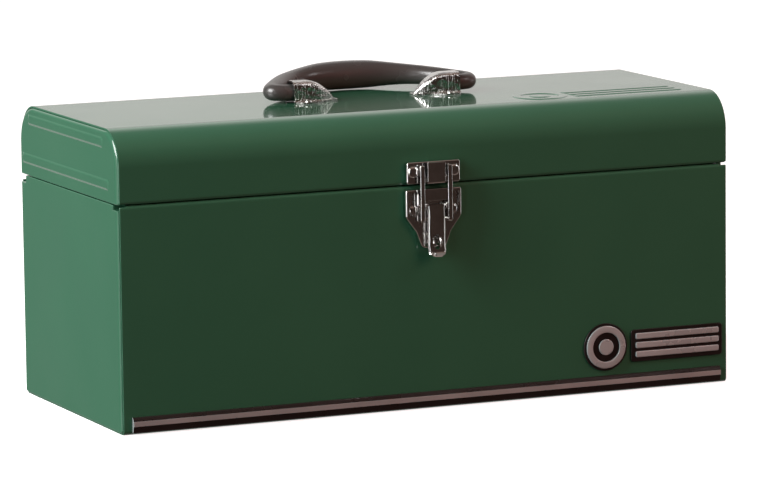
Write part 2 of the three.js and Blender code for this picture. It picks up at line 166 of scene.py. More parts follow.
def place_z(outline, z):
    return [(a, b, z) for a, b in outline]


def prism(bm, outline, place, start, end):
    """A closed solid with the same outline at both ends."""
    loft(bm, [place(outline, start), place(outline, end)])


def lathe(bm, profile, origin, direction, sides=40):
    """Turns (radius, height) points round a direction; the profile starts and ends on the axis."""
    turn = Vector((0, 0, 1)).rotation_difference(Vector(direction)).to_matrix()
    rows = []
    for radius, height in profile[1:-1]:
        ring = [turn @ Vector((a, b, height)) + Vector(origin) for a, b in circle(0, 0, radius, sides)]
        rows.append(row(bm, ring))
    bridge(bm, rows)
    for (_, height), ring in ((profile[0], rows[0]), (profile[-1], rows[-1])):
        tip = bm.verts.new(turn @ Vector((0, 0, height)) + Vector(origin))
        for index, vertex in enumerate(ring):
            bm.faces.new((vertex, ring[(index + 1) % sides], tip))


def sweep(bm, path, stations, skip=None):
    """A sheet that follows a (y, z) path and runs along X, with a column at each station."""
    rows = [row(bm, [(x, y, z) for x in stations]) for y, z in path]
    for index, (one, two) in enumerate(zip(rows, rows[1:])):
        for column in range(len(stations) - 1):
            middle = (stations[column] + stations[column + 1]) / 2
            if not (skip and skip(middle, (path[index] + path[index + 1]) / 2)):
                bm.faces.new((one[column], one[column + 1], two[column + 1], two[column]))
    return rows


def piece(bm, name, body, finish, replaced=(), sheet=0, bevel=0.25, segments=2):
    """Makes an object of the mesh, gives it its sheet's thickness and soft edges, and hangs it on a body."""
    bmesh.ops.remove_doubles(bm, verts=bm.verts, dist=0.02)
    bmesh.ops.recalc_face_normals(bm, faces=bm.faces)
    bmesh.ops.scale(bm, vec=(MM, MM, MM), verts=bm.verts)
    mesh = bpy.data.meshes.new(name)
    bm.to_mesh(mesh)
    bm.free()
    thing = bpy.data.objects.new(name, mesh)
    bpy.context.scene.collection.objects.link(thing)
    for material in finish:
        mesh.materials.append(material)
    if sheet:
        solidify = thing.modifiers.new("thickness", "SOLIDIFY")
        solidify.thickness = sheet * MM
        solidify.offset = 0
        solidify.use_even_offset = True
    soften(thing, bevel, segments)
    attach(thing, body)
    if replaced:
        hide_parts(*replaced)
    return thing


def soften(thing, bevel, segments=2):
    """Smooth shading, with every hard edge rounded."""
    thing.data.polygons.foreach_set("use_smooth", [True] * len(thing.data.polygons))
    if bevel:
        edge = thing.modifiers.new("edges", "BEVEL")
        edge.width = bevel * MM
        edge.segments = segments
        edge.limit_method = "ANGLE"
        edge.angle_limit = math.radians(38)
        edge.use_clamp_overlap = True
        weighted = thing.modifiers.new("normals", "WEIGHTED_NORMAL")
        weighted.keep_sharp = True


# ---------------------------------------------------------------- materials

class Nodes:
    """Adds and joins shader nodes. In a socket's name, # comes before its number."""

    def __init__(self, tree):
        self.tree = tree

    def add(self, kind, settings=None, **inputs):
        node = self.tree.nodes.new(kind)
        for name, value in (settings or {}).items():
            setattr(node, name, value)
        for name, value in inputs.items():
            self.join(value, node, name.replace("_", " "))
        return node

    def join(self, value, node, name):
        socket = node.inputs[int(name[1:])] if name[0] == "#" else node.inputs[name]
        if isinstance(value, bpy.types.NodeSocket):
            self.tree.links.new(value, socket)
        else:
            socket.default_value = value

    def math(self, operation, one, two=0.0, clamp=False):
        node = self.tree.nodes.new("ShaderNodeMath")
        node.operation = operation
        node.use_clamp = clamp
        self.join(one, node, "#0")
        self.join(two, node, "#1")
        return node.outputs[0]

    def span(self, value, low, high, to_low=0.0, to_high=1.0):
        """Maps low…high to to_low…to_high, smoothly and clamped."""
        node = self.tree.nodes.new("ShaderNodeMapRange")
        node.interpolation_type = "SMOOTHSTEP"
        sockets = ("Value", "From Min", "From Max", "To Min", "To Max")
        for name, given in zip(sockets, (value, low, high, to_low, to_high)):
            self.join(given, node, name)
        return node.outputs["Result"]

    def between(self, share, one, two):
        """A number between two numbers."""
        first = self.math("MULTIPLY", self.math("SUBTRACT", 1.0, share), one)
        return self.math("ADD", first, self.math("MULTIPLY", share, two))

    def noise(self, coordinates, scale, detail=2.0, roughness=0.5):
        node = self.add(
            "ShaderNodeTexNoise", Vector=coordinates, Scale=scale, Detail=detail, Roughness=roughness)
        return node.outputs["Fac"]

    def blend(self, share, one, two):
        """A colour between two colours."""
        node = self.tree.nodes.new("ShaderNodeMix")
        node.data_type = "RGBA"
        self.join(share, node, "#0")
        self.join(one, node, "#6")
        self.join(two, node, "#7")
        return node.outputs[2]

    def bump(self, height, strength, distance, normal=None):
        node = self.add("ShaderNodeBump", Height=height, Strength=strength, Distance=distance)
        if normal:
            self.join(normal, node, "Normal")
        return node.outputs["Normal"]


def colour(red, green, blue):
    return (red, green, blue, 1.0)


def new_material(name, slot):
    material = bpy.data.materials.new(name)
    material.use_nodes = True
    material["slot"] = slot
    nodes = Nodes(material.node_tree)
    shader = material.node_tree.nodes["Principled BSDF"]
    place = nodes.add("ShaderNodeTexCoord").outputs["Object"]
    return material, nodes, shader, place


def enamel():
    """Glossy stoved enamel: an even dark green under a clear gloss, with slight orange peel and flow."""
    material, nodes, shader, place = new_material("green enamel", "green_paint")
    cloud = nodes.noise(place, 14.0, 3.0)
    fleck = nodes.noise(place, 900.0, 2.0)
    tone = nodes.math("ADD", nodes.math("MULTIPLY", cloud, 0.75), nodes.math("MULTIPLY", fleck, 0.25))
    paint = nodes.blend(tone, colour(0.019, 0.085, 0.047), colour(0.025, 0.101, 0.055))
    nodes.join(paint, shader, "Base Color")
    nodes.join(nodes.span(cloud, 0.3, 0.7, 0.46, 0.54), shader, "Roughness")
    shader.inputs["Specular IOR Level"].default_value = 0.07
    shader.inputs["Coat Weight"].default_value = 1.0
    shader.inputs["Coat Roughness"].default_value = 0.035
    shader.inputs["Coat IOR"].default_value = 1.5
    flow = nodes.bump(nodes.noise(place, 11.0, 1.0), 0.35, 0.0012)
    peel = nodes.bump(nodes.noise(place, 420.0, 1.0), 0.05, 0.0004, flow)
    nodes.join(peel, shader, "Normal")
    nodes.join(peel, shader, "Coat Normal")
    return material


def plated(name, slot, base, roughness, wave=0.25, draw=0.0):
    """Bright plate over pressed steel: a mirror with faint pressing waves, haze and fine scratches.
    Draw is the strength of the upright marks that a deep pressing leaves."""
    material, nodes, shader, place = new_material(name, slot)
    haze = nodes.noise(place, 60.0, 4.0, 0.6)
    dark = colour(*[part * 0.86 for part in base])
    nodes.join(nodes.blend(nodes.span(haze, 0.35, 0.7), dark, colour(*base)), shader, "Base Color")
    nodes.join(nodes.span(haze, 0.3, 0.75, roughness * 0.7, roughness * 1.5), shader, "Roughness")
    shader.inputs["Metallic"].default_value = 1.0
    waves = nodes.bump(nodes.noise(place, 130.0, 2.0), wave, 0.0012)
    if draw:
        upright = nodes.add("ShaderNodeMapping", Vector=place, Scale=(900.0, 500.0, 110.0))
        waves = nodes.bump(nodes.noise(upright.outputs[0], 1.0, 3.0), draw, 0.0014, waves)
    stretch = nodes.add("ShaderNodeMapping", Vector=place, Scale=(2600.0, 2600.0, 90.0))
    scratches = nodes.noise(stretch.outputs[0], 1.0, 2.0)
    nodes.join(nodes.bump(scratches, 0.06, 0.0002, waves), shader, "Normal")
    return material


def moulded():
    """Satin brown-black plastic with a fine moulded grain and a shine that varies a little at random."""
    material, nodes, shader, place = new_material("moulded plastic", "dark_plastic")
    cloud = nodes.noise(place, 26.0, 3.0)
    brown = nodes.blend(cloud, colour(0.031, 0.030, 0.029), colour(0.045, 0.043, 0.041))
    nodes.join(brown, shader, "Base Color")
    nodes.join(nodes.span(cloud, 0.3, 0.7, 0.24, 0.32), shader, "Roughness")
    grain = nodes.add("ShaderNodeTexVoronoi", {"feature": "F1"}, Vector=place, Scale=1500.0)
    leather = nodes.bump(grain.outputs["Distance"], 0.12, 0.0002)
    nodes.join(nodes.bump(nodes.noise(place, 90.0, 2.0), 0.12, 0.0008, leather), shader, "Normal")
    return material


def trim_finish(name, base, roughness, metallic):
    """Extruded trim: drawn lines along its length over a satin or dark lacquered face."""
    material, nodes, shader, place = new_material(name, "trim_metal")
    stretch = nodes.add("ShaderNodeMapping", Vector=place, Scale=(9.0, 2400.0, 2400.0))
    lines = nodes.noise(stretch.outputs[0], 1.0, 3.0)
    cloud = nodes.noise(place, 35.0, 3.0)
    dark, light = (colour(*[part * share for part in base]) for share in (0.8, 1.35))
    drawn = nodes.math("MULTIPLY", lines, cloud)
    nodes.join(nodes.blend(drawn, dark, light), shader, "Base Color")
    nodes.join(nodes.span(cloud, 0.3, 0.7, roughness * 0.85, roughness * 1.2), shader, "Roughness")
    shader.inputs["Metallic"].default_value = metallic
    nodes.join(nodes.bump(lines, 0.10, 0.0002), shader, "Normal")
    return material


def badge_finish(name, slot, base, roughness, metallic):
    """The badge's two faces: fine-grained black and satin silver."""
    material, nodes, shader, place = new_material(name, slot)
    grain = nodes.noise(place, 2200.0, 2.0)
    cloud = nodes.noise(place, 60.0, 3.0)
    dark, light = (colour(*[part * share for part in base]) for share in (0.82, 1.15))
    nodes.join(nodes.blend(cloud, dark, light), shader, "Base Color")
    nodes.join(nodes.span(cloud, 0.3, 0.7, roughness * 0.85, roughness * 1.2), shader, "Roughness")
    shader.inputs["Metallic"].default_value = metallic
    nodes.join(nodes.bump(grain, 0.12, 0.0002), shader, "Normal")
    return material


GREEN = enamel()
CHROME = plated("bright chrome", "chrome", (0.76, 0.75, 0.74), 0.10, 0.1)
PRESSED_CHROME = plated("pressed chrome", "chrome", (0.74, 0.72, 0.71), 0.07, 0.8, 0.6)
ZINC = plated("zinc plate", "zinc_steel", (0.52, 0.52, 0.50), 0.30)
PLASTIC = moulded()
TRIM_DARK = trim_finish("trim lacquer", (0.011, 0.009, 0.0085), 0.28, 0.0)
TRIM_BRIGHT = trim_finish("trim stripe", (0.27, 0.31, 0.31), 0.34, 0.3)
BADGE_BLACK = badge_finish("badge black", "badge_black", (0.010, 0.008, 0.0075), 0.34, 0.0)
BADGE_SILVER = badge_finish("badge silver", "badge_silver", (0.32, 0.40, 0.41), 0.30, 0.3)


# ---------------------------------------------------------------- case

def build_case_wrap():
    rim = case_high.z - SHEET / 2
    relief_z = case_high.z - FRONT_NOTCH
    path = rounded([
        (FRONT + RIM, rim), (-WALL, rim, 2), (-WALL, relief_z), (-WALL, SHEET / 2, 3),
        (WALL, SHEET / 2, 3), (WALL, extent("hinge_leaf_case")[1].z - 4.45),
    ])
    inner = HALF_LENGTH - 5.6  # the folded rim ends here
    bm = bmesh.new()
    sweep(bm, path, [-HALF_LENGTH, -inner, inner, HALF_LENGTH],
          lambda x, middle: abs(x) > inner and middle.y > relief_z and -WALL + 0.5 < middle.x < 0)
    piece(bm, "case_shell", "case", [GREEN], ["case_wrap"], SHEET)


def pan_rows(bm, outline, face, side, bend, depth, steps=6):
    """The turned edge of a pan: from the flat face's border round the bend and along the flange.
    The outline takes the depth of its inset, from 0 at the sheet's middle to 1 on the flat face."""
    rows = []
    reach = bend - SHEET / 2
    for step in range(steps + 1):
        angle = math.pi / 2 * step / steps
        x = side * (face - SHEET / 2 - reach * (1 - math.cos(angle)))
        rows.append(row(bm, place_x(outline(1 - math.sin(angle)), x)))
    rows.append(row(bm, place_x(outline(0), side * (face - depth))))
    bridge(bm, rows)
    return rows[0]


def build_case_end(side, label):
    low, high = case_end_low, case_end_high
    notch_y = 94  # between the notches at the top corners
    front_notch = high.z - FRONT_NOTCH
    rear_notch = high.z - 5.4

    def outline(share):
        inset = SHEET / 2 + 0.3 * share
        front = SHEET / 2 + 2.6 * share
        return rounded([
            (low.y + front, low.z + inset, 1.6), (high.y - inset, low.z + inset, 1.6),
            (high.y - inset, rear_notch - inset), (notch_y - inset, rear_notch - inset),
            (notch_y - inset, high.z - inset), (-notch_y + inset, high.z - inset),
            (-notch_y + inset, front_notch - inset), (low.y + front, front_notch - inset),
        ], True)

    bm = bmesh.new()
    border = pan_rows(bm, outline, END_FACE, side, 1.8, END_FACE - low.x)
    bm.faces.new(border)
    piece(bm, f"case_panel_{label}", "case", [GREEN], [f"case_end_{label}"], SHEET)


# ---------------------------------------------------------------- lid

# Generic marks pressed up in the lid: a ring round a disc, and three bars.
EMBOSS = {"height": 0.55, "ring_x": 116, "bar_start": 140, "bar_end": 232, "pitch": 11.5, "y": -55}


def raised_loops(bm, outline, level, height, side, slope=1.3, place=place_z, steps=4):
    """A pressed boss: loops from the flat sheet up a soft shoulder. Returns the first and last loop."""
    rows = []
    for step in range(steps + 1):
        share = step / steps
        rows.append(row(bm, place(outline((share - 0.5) * slope), level + side * height * smooth(share))))
    bridge(bm, rows)
    return rows[0], rows[-1]


def build_lid_wrap():
    top = LID_TOP - SHEET / 2
    rim = lid_end_low.z + SHEET / 2
    inner = HALF_LENGTH - 7.6  # the folded rim ends here
    relief_z = rim + 3.4
    flat_y = WALL - LID_BEND
    stations = [-HALF_LENGTH, -inner, inner, HALF_LENGTH]
    front_path = rounded([
        (FRONT + RIM, rim), (-WALL, rim, 2), (-WALL, relief_z), (-WALL, top, LID_BEND), (-flat_y, top),
    ], steps=24)
    rear_path = rounded([(flat_y, top), (WALL, top, LID_BEND), (WALL, lid_low.z)], steps=24)
    bm = bmesh.new()
    front_rows = sweep(bm, front_path[:-1], stations, lambda x, middle: (
        abs(x) > inner and middle.y < relief_z and middle.x > -WALL + 0.5))
    rear_rows = sweep(bm, rear_path[1:], stations)

    loops = [front_rows[-1] + rear_rows[0][::-1]]
    emblem = (EMBOSS["ring_x"], EMBOSS["y"])
    for sign, radii in ((1, 21), (-1, 15)):
        first, last = raised_loops(
            bm, lambda inset: circle(*emblem, radii - sign * inset), top, EMBOSS["height"], 1)
        if sign > 0:
            loops.append(first)
            crest = last
        else:
            fill(bm, crest, last)
            ring_floor = first
    first, last = raised_loops(bm, lambda inset: circle(*emblem, 8 - inset, 32), top, EMBOSS["height"], 1)
    fill(bm, ring_floor, first)
    bm.faces.new(last)
    for step in (-1, 0, 1):
        y = EMBOSS["y"] + step * EMBOSS["pitch"]

        def bar(inset):
            start, end = EMBOSS["bar_start"] + inset, EMBOSS["bar_end"] - inset
            return box_outline(start, y - 3 + inset, end, y + 3 - inset, 2.2)

        first, last = raised_loops(bm, bar, top, EMBOSS["height"], 1)
        loops.append(first)
        bm.faces.new(last)
    fill(bm, *loops)
    piece(bm, "lid_shell", "lid", [GREEN], ["lid_wrap"], SHEET)


def build_lid_end(side, label):
    low, high = lid_end_low, lid_end_high
    corner = LID_BEND - SHEET / 2 - GAP

    def outline(share):
        front = SHEET / 2 + 4.4 * share
        rear = SHEET / 2 + 0.3 * share
        crest = SHEET / 2 + 2.6 * share
        foot = low.z + SHEET / 2 + 0.15 * share
        return rounded([
            (low.y + front, foot, 0.9), (high.y - rear, foot, 0.9),
            (high.y - rear, high.z - crest, corner - SHEET / 2 - 1.6 * share),
            (low.y + front, high.z - crest, corner - SHEET / 2 - 3.4 * share),
        ], True, 16)

    bm = bmesh.new()
    loops = [pan_rows(bm, outline, END_FACE, side, 2.6, 8)]
    rib_height, rib_width = high.x - END_FACE - 0.03, 6.4
    for y0, y1, z in ((-86, 98, 182.5), (-75, 84, 213.3)):
        first, last = raised_loops(
            bm, lambda inset: box_outline(y0 + inset, z + inset, y1 - inset, z + rib_width - inset, 1.8),
            side * (END_FACE - SHEET / 2), rib_height, side, 2.2, place_x, 7)
        loops.append(first)
        bm.faces.new(last)
    fill(bm, *loops)
    piece(bm, f"lid_panel_{label}", "lid", [GREEN], [f"lid_end_{label}"], SHEET)


# ---------------------------------------------------------------- handle and hoods

def catmull(values, steps):
    """Points on a smooth curve through a list of vectors."""
    padded = [2 * values[0] - values[1], *values, 2 * values[-1] - values[-2]]
    points = []
    for p0, p1, p2, p3 in zip(padded, padded[1:], padded[2:], padded[3:]):
        for step in range(steps):
            t = step / steps
            points.append(0.5 * (2 * p1 + (p2 - p0) * t + (2 * p0 - 5 * p1 + 4 * p2 - p3) * t ** 2
                                 + (3 * p1 - p0 - 3 * p2 + p3) * t ** 3))
    return [*points, values[-1]]


def build_grip():
    """One moulding: a bow whose ends curl round and point inwards. Stations are (x, reach, radius)."""
    axis = joints["handle_swing"]
    bow = 60.7  # from the axis to the middle of the bow
    rise = math.asin(3.5 / bow)
    half = [
        (56, 0, 6.2), (64, 0, 6.2), (70, 0, 6.2), (75, 0.4, 6.2), (80.4, 2.4, 6.3), (82.8, 6, 6.4),
        (81, 11.5, 6.5), (77.4, 17, 6.6), (73.8, 22, 6.8), (69, 28.5, 7), (64, 34.8, 7.2), (58, 41, 7.5),
        (50.5, 47, 7.9), (42, 52, 8.6), (32, 56.2, 9.6), (22, 58.9, 10.6), (11, 60.3, 11.05),
    ]
    stations = [*half, (0, bow, 11.2), *[(-x, reach, radius) for x, reach, radius in reversed(half)]]
    curve = catmull([Vector(station) for station in stations], 4)
    outward = Vector((0, math.cos(rise), math.sin(rise)))
    upward = Vector((1, 0, 0)).cross(outward)
    places = [Vector((x, axis.y, axis.z)) + outward * reach for x, reach, _ in curve]
    rings = []
    for index, (place, (_, _, radius)) in enumerate(zip(places, curve)):
        along = places[min(index + 1, len(places) - 1)] - places[max(index - 1, 0)]
        across = along.normalized().cross(upward)
        rings.append([place + across * a + upward * b for a, b in circle(0, 0, radius, 40)])
    bm = bmesh.new()
    loft(bm, rings)
    piece(bm, "handle_bow", "handle", [PLASTIC], ["handle_grip"], bevel=0.9, segments=3)


def build_hood(end, label):
    """A stamped hood: a half tube with a flat crown, open outwards, that rounds down into its foot plate."""
    axis = joints["handle_swing"]
    level = LID_TOP + GAP + SHEET / 2
    mouth, round_x, tip, tongue = 70, 58, 34, 31
    half_width, crown, fillet = 7.3, 3, 1.5
    height = 15.6
    shoulder = height - 5.4
    plate = rounded([
        (tongue, 0), (tongue, 4.6, 4), (46, 8, 6), (54, 16, 4), (67, 16, 3), (69, 8.9), (mouth, 8.9),
    ])

    def plate_half(x):
        """Half width of the foot plate at x."""
        for one, two in zip(plate, plate[1:]):
            if one.x <= x <= two.x and two.x > one.x:
                return one.y + (two.y - one.y) * (x - one.x) / (two.x - one.x)
        return plate[-1].y

    def section(x, wide, scale):
        """Half of the cross-section at x, from the plate's edge over the wall to the middle of the crown.
        Wide and scale are its shares of the full width and height."""
        edge = plate_half(x)
        if scale == 0:
            steps = 18
            return [(edge * (1 - index / steps), 0) for index in range(steps + 1)]
        wall = half_width * wide
        soft = fillet * scale + 0.05
        points = [(max(edge, wall + soft), 0), (wall + soft + 0.02, 0)]
        for step in range(1, 5):
            angle = math.pi / 8 * step
            points.append((wall + soft - soft * math.sin(angle), soft - soft * math.cos(angle)))
        points.append((wall, max(shoulder * scale, soft + 0.02)))
        for step in range(1, 11):
            angle = math.pi / 20 * step
            a = crown * wide + (wall - crown * wide) * math.cos(angle) ** 0.85
            b = shoulder * scale + (height - shoulder) * scale * math.sin(angle) ** 0.85
            points.append((a, b))
        points.append((crown * wide * 0.5, height * scale))
        points.append((0, height * scale))
        return points

    places = [(x, 1, 1) for x in (mouth, 69, 67.5, 66, 63, 59)]
    for step in range(25):
        share = 0.995 * step / 24
        places.append((round_x - (round_x - tip) * share, 1 - share ** 3, 1 - share ** 1.9))
    places += [(x, 0, 0) for x in (33.6, 33, 32.2, 31.6, 31.2, 31.03)]
    bm = bmesh.new()
    rows = []
    for x, wide, scale in places:
        half = section(x, wide, scale)
        line = [(-a, b) for a, b in half] + [(a, b) for a, b in half[-2::-1]]
        rows.append(row(bm, [(end * x, axis.y + a, level + b) for a, b in line]))
    bridge(bm, rows, closed=False)
    piece(bm, f"hood_{label}", "lid", [PRESSED_CHROME], [f"handle_hood_{label}"], SHEET, 0.25)


def rivet(name, body, place, direction, head, height, replaced):
    bm = bmesh.new()
    profile = [(0, -0.5), (head * 0.9, -0.5), (head, 0.05), (head, 0.35)]
    for step in range(1, 9):
        angle = math.pi / 16 * step
        profile.append((head * math.cos(angle) * 0.985, 0.35 + (height - 0.35) * math.sin(angle)))
    profile[-1] = (0, height)
    lathe(bm, profile, place, direction)
    piece(bm, name, body, [CHROME], replaced, bevel=0.12)


# ---------------------------------------------------------------- latch

def spaced(start, end, count):
    return [start + (end - start) * index / count for index in range(count + 1)]


def plate_rows(bm, outline, face, back, bend=1.9, steps=4):
    """The turned edge of a stamping that faces -Y and stands off the wall behind it."""
    rows = []
    reach = bend - SHEET / 2
    for step in range(steps + 1):
        angle = math.pi / 2 * step / steps
        inset = SHEET / 2 + reach * (1 - math.sin(angle))
        rows.append(row(bm, place_y(outline(inset), face + SHEET / 2 + reach * (1 - math.cos(angle)))))
    rows.append(row(bm, place_y(outline(SHEET / 2), back)))
    bridge(bm, rows)
    return rows[0]


# The sunk seats of the base's rivets, each a slot that runs up from the rivet.
SEAT = {"x": 16.5, "z": 153.5, "radius": 4.5, "wall": 0.8, "depth": 2.6, "top": 166.8}


def build_latch_base():
    top = base_high.z
    half = [(23, top, 2), (23, 148.5, 7), (14.4, 137, 9), (10, base_low.z, 5)]

    def outline(inset):
        side = []
        for index, (x, z, radius) in enumerate(half):
            drop = -inset if index == 0 else inset if index == 3 else 0
            side.append((x - inset, z + drop, max(radius - inset, 0.3)))
        return rounded(side + [(-x, z, radius) for x, z, radius in reversed(side)], True, 8)

    bm = bmesh.new()
    loops = [plate_rows(bm, outline, LATCH_FACE, FRONT - GAP, 1.3)]
    for side in (-1, 1):
        def pocket(inset):
            reach, foot = SEAT["radius"] - inset, SEAT["z"] - SEAT["radius"] + inset
            x = side * SEAT["x"]
            soft = reach - 0.02
            return rounded([
                (x - reach, foot, soft), (x + reach, foot, soft),
                (x + reach, SEAT["top"] - inset, 1.4), (x - reach, SEAT["top"] - inset, 1.4),
            ], True, 10)

        first, last = raised_loops(
            bm, pocket, LATCH_FACE + SHEET / 2, SEAT["depth"], 1, SEAT["wall"], place_y, 5)
        loops.append(first)
        bm.faces.new(last)
    fill(bm, *loops)
    piece(bm, "latch_plate", "case", [CHROME], ["latch_base"], SHEET, 0.2)
    pivot = joints["lever_turn"]
    ear = rounded([
        (LATCH_FACE + SHEET, pivot.z - 3), (pivot.y - 2.6, pivot.z - 3, 2.6),
        (pivot.y - 2.6, pivot.z + 2.8, 2.6), (LATCH_FACE + SHEET, pivot.z + 2.8),
    ], True)
    bm = bmesh.new()
    for x in (-9.1, 7.9):
        prism(bm, ear, place_x, x, x + SHEET)
    piece(bm, "latch_ears", "case", [CHROME], bevel=0.3)


def folded_strip(bm, outline, holes, path, across, roll):
    """A flat blank (x, distance along the path) cut to its outline, then bent along a (y, z) path.
    roll(x) says how far its edges are turned back."""
    lengths = [0]
    for one, two in zip(path, path[1:]):
        lengths.append(lengths[-1] + (two - one).length)
    blank = bmesh.new()
    loops = [row(blank, place_z(loop, 0)) for loop in (outline, *holes)]
    fill(blank, *loops)
    cuts = [(Vector((1, 0, 0)), value) for value in across]
    for values in (lengths, spaced(0, lengths[-1], 24)):
        cuts += [(Vector((0, 1, 0)), value) for value in values[1:-1]]
    for normal, value in cuts:
        bmesh.ops.bisect_plane(
            blank, geom=blank.verts[:] + blank.edges[:] + blank.faces[:], dist=1e-4,
            plane_co=normal * value, plane_no=normal)
    blank.verts.ensure_lookup_table()
    made = {}
    for vertex in blank.verts:
        x, along, _ = vertex.co
        index = max(i for i in range(len(path) - 1) if lengths[i] <= along + 1e-6)
        share = (along - lengths[index]) / (lengths[index + 1] - lengths[index])
        middle = path[index].lerp(path[index + 1], share)
        before = (path[index + 1] - path[index]).normalized()
        after = (path[min(index + 2, len(path) - 1)] - path[min(index + 1, len(path) - 2)]).normalized()
        heading = before.lerp(after, share).normalized()
        back = Vector((-heading.y, heading.x))
        place = middle + back * roll(x)
        made[vertex] = bm.verts.new((x, place.x, place.y))
    for face in blank.faces:
        bm.faces.new([made[vertex] for vertex in face.verts])
    blank.free()


def path_distance(path, z):
    """How far along a path that runs downwards its height is z."""
    gone = 0
    for one, two in zip(path, path[1:]):
        if one.y >= z >= two.y:
            return gone + (two - one).length * (one.y - z) / (one.y - two.y)
        gone += (two - one).length
    return gone


def build_lever():
    path = rounded([
        (-114.9, 158.2), (LEVER_FACE - 0.1, 152.6, 3), (LEVER_FACE, 127, 7), (-117.3, 121.2, 3.2),
        (-120.1, 119),
    ], steps=5)
    length = sum((two - one).length for one, two in zip(path, path[1:]))
    half = 7
    outline = rounded([(-half, 0), (half, 0), (half, length, 5.6), (-half, length, 5.6)], True, 10)
    slot = box_outline(-2, path_distance(path, 135.4), 2, path_distance(path, 123.8), 1.9)
    across = [side * x for side in (-1, 1) for x in (5.3, 5.7, 6.1, 6.5, 6.8)]

    def roll(x):
        return 1.2 * smooth((abs(x) - 5.2) / 1.8) ** 1.5

    bm = bmesh.new()
    folded_strip(bm, outline, [slot], path, across, roll)
    piece(bm, "lever_plate", "lever", [CHROME], ["latch_lever"], 1.1, 0.25)
    pivots = [joints["lever_turn"], joints["bail_turn"]]
    bm = bmesh.new()
    cheek = box_outline(-115.3, pivots[1].z - 2.8, -112.2, pivots[0].z + 1.8, 1.4)
    for x in (-7, 5.8):
        prism(bm, cheek, place_x, x, x + SHEET)
    piece(bm, "lever_cheeks", "lever", [CHROME], bevel=0.3)


def build_bail():
    low, high = bail_low, bail_high
    rail = rounded([
        (low.y, low.z, 2.2), (high.y, low.z, 1.5), (high.y, high.z, 0.8),
        (low.y + 0.6, high.z, 1.2), (low.y, high.z - 4, 3),
    ], True)
    width = 3.6
    bm = bmesh.new()
    for x in (low.x, high.x - width):
        prism(bm, rail, place_x, x, x + width)
    piece(bm, "bail_rails", "bail", [CHROME], ["latch_bail"], bevel=0.55, segments=3)
    bm = bmesh.new()
    web = rounded([(-10, 161), (10, 161), (10, 170), (-10, 170)], True)
    prism(bm, web, place_y, LEVER_FACE, LEVER_FACE + SHEET)
    for x in (-10, 7.9):
        prism(bm, box_outline(-114.9, 176, -112.6, 179, 0.6), place_x, x, x + 2.1)
    piece(bm, "bail_web", "bail", [CHROME], bevel=0.35)


def build_catch():
    low, high = catch_low, catch_high

    def outline(inset):
        return box_outline(low.x + inset, low.z + inset, high.x - inset, high.z - inset, max(2 - inset, 0.3))

    bm = bmesh.new()
    border = plate_rows(bm, outline, LATCH_FACE, FRONT - GAP, 1.1)
    bm.faces.new(border)
    piece(bm, "catch_plate", "lid", [CHROME], ["latch_catch"], SHEET, 0.2)
    half = 7.3
    foot = low.z + SHEET / 2
    path = rounded([(LATCH_FACE + SHEET, foot), (LEVER_FACE, foot, 1.6), (LEVER_FACE, high.z - 0.3)])
    bm = bmesh.new()
    sweep(bm, path, [-half, half])
    piece(bm, "catch_hook", "lid", [CHROME], (), SHEET, 0.3)


def build_pins():
    radius, chamfer = 1.15, (0.15, 0.2)
    for name, joint, body in (("lever_pin", "lever_turn", "case"), ("bail_pin", "bail_turn", "lever")):
        low, high = extent(name)
        pivot = joints[joint]
        tip = radius - chamfer[0]
        profile = [
            (0, low.x), (tip, low.x), (radius, low.x + chamfer[1]),
            (radius, high.x - chamfer[1]), (tip, high.x), (0, high.x),
        ]
        bm = bmesh.new()
        lathe(bm, profile, (0, pivot.y, pivot.z), (1, 0, 0), 20)
        piece(bm, f"{name}_rod", body, [CHROME], [name], bevel=0)


def build_staple():
    low, high = extent("padlock_staple")
    bend, wire = 3.2, 0.9
    foot, crest, front = low.z + wire, high.z - wire, low.y + wire
    path = rounded([(high.y, crest), (front, crest, bend), (front, foot, bend), (high.y, foot)], steps=10)
    rings = []
    for index, (y, z) in enumerate(path):
        along = path[min(index + 1, len(path) - 1)] - path[max(index - 1, 0)]
        across = Vector((-along.y, along.x)).normalized()
        rings.append([(a, y + across.x * b, z + across.y * b) for a, b in circle(0, 0, wire, 16)])
    bm = bmesh.new()
    loft(bm, rings)
    piece(bm, "staple_loop", "case", [CHROME], ["padlock_staple"], bevel=0)


def build_rivets():
    floor = LATCH_FACE + SEAT["depth"] + 0.1
    for label, side in (("left", -1), ("right", 1)):
        rivet(f"base_head_{label}", "case", (side * SEAT["x"], floor, SEAT["z"]), (0, -1, 0),
              4.1, 2.9, [f"base_rivet_{label}"])
        rivet(f"catch_head_{label}", "lid", (side * 17, LATCH_FACE, 183), (0, -1, 0),
              4.5, 2.4, [f"catch_rivet_{label}"])
    for index in (1, 2, 3, 4):
        low, high = extent(f"hood_rivet_{index}")
        centre = (low + high) / 2
        rivet(f"hood_head_{index}", "lid", (centre.x, centre.y, LID_TOP + GAP + SHEET), (0, 0, 1),
              3, 1.7, [f"hood_rivet_{index}"])


# ---------------------------------------------------------------- front trim and badge

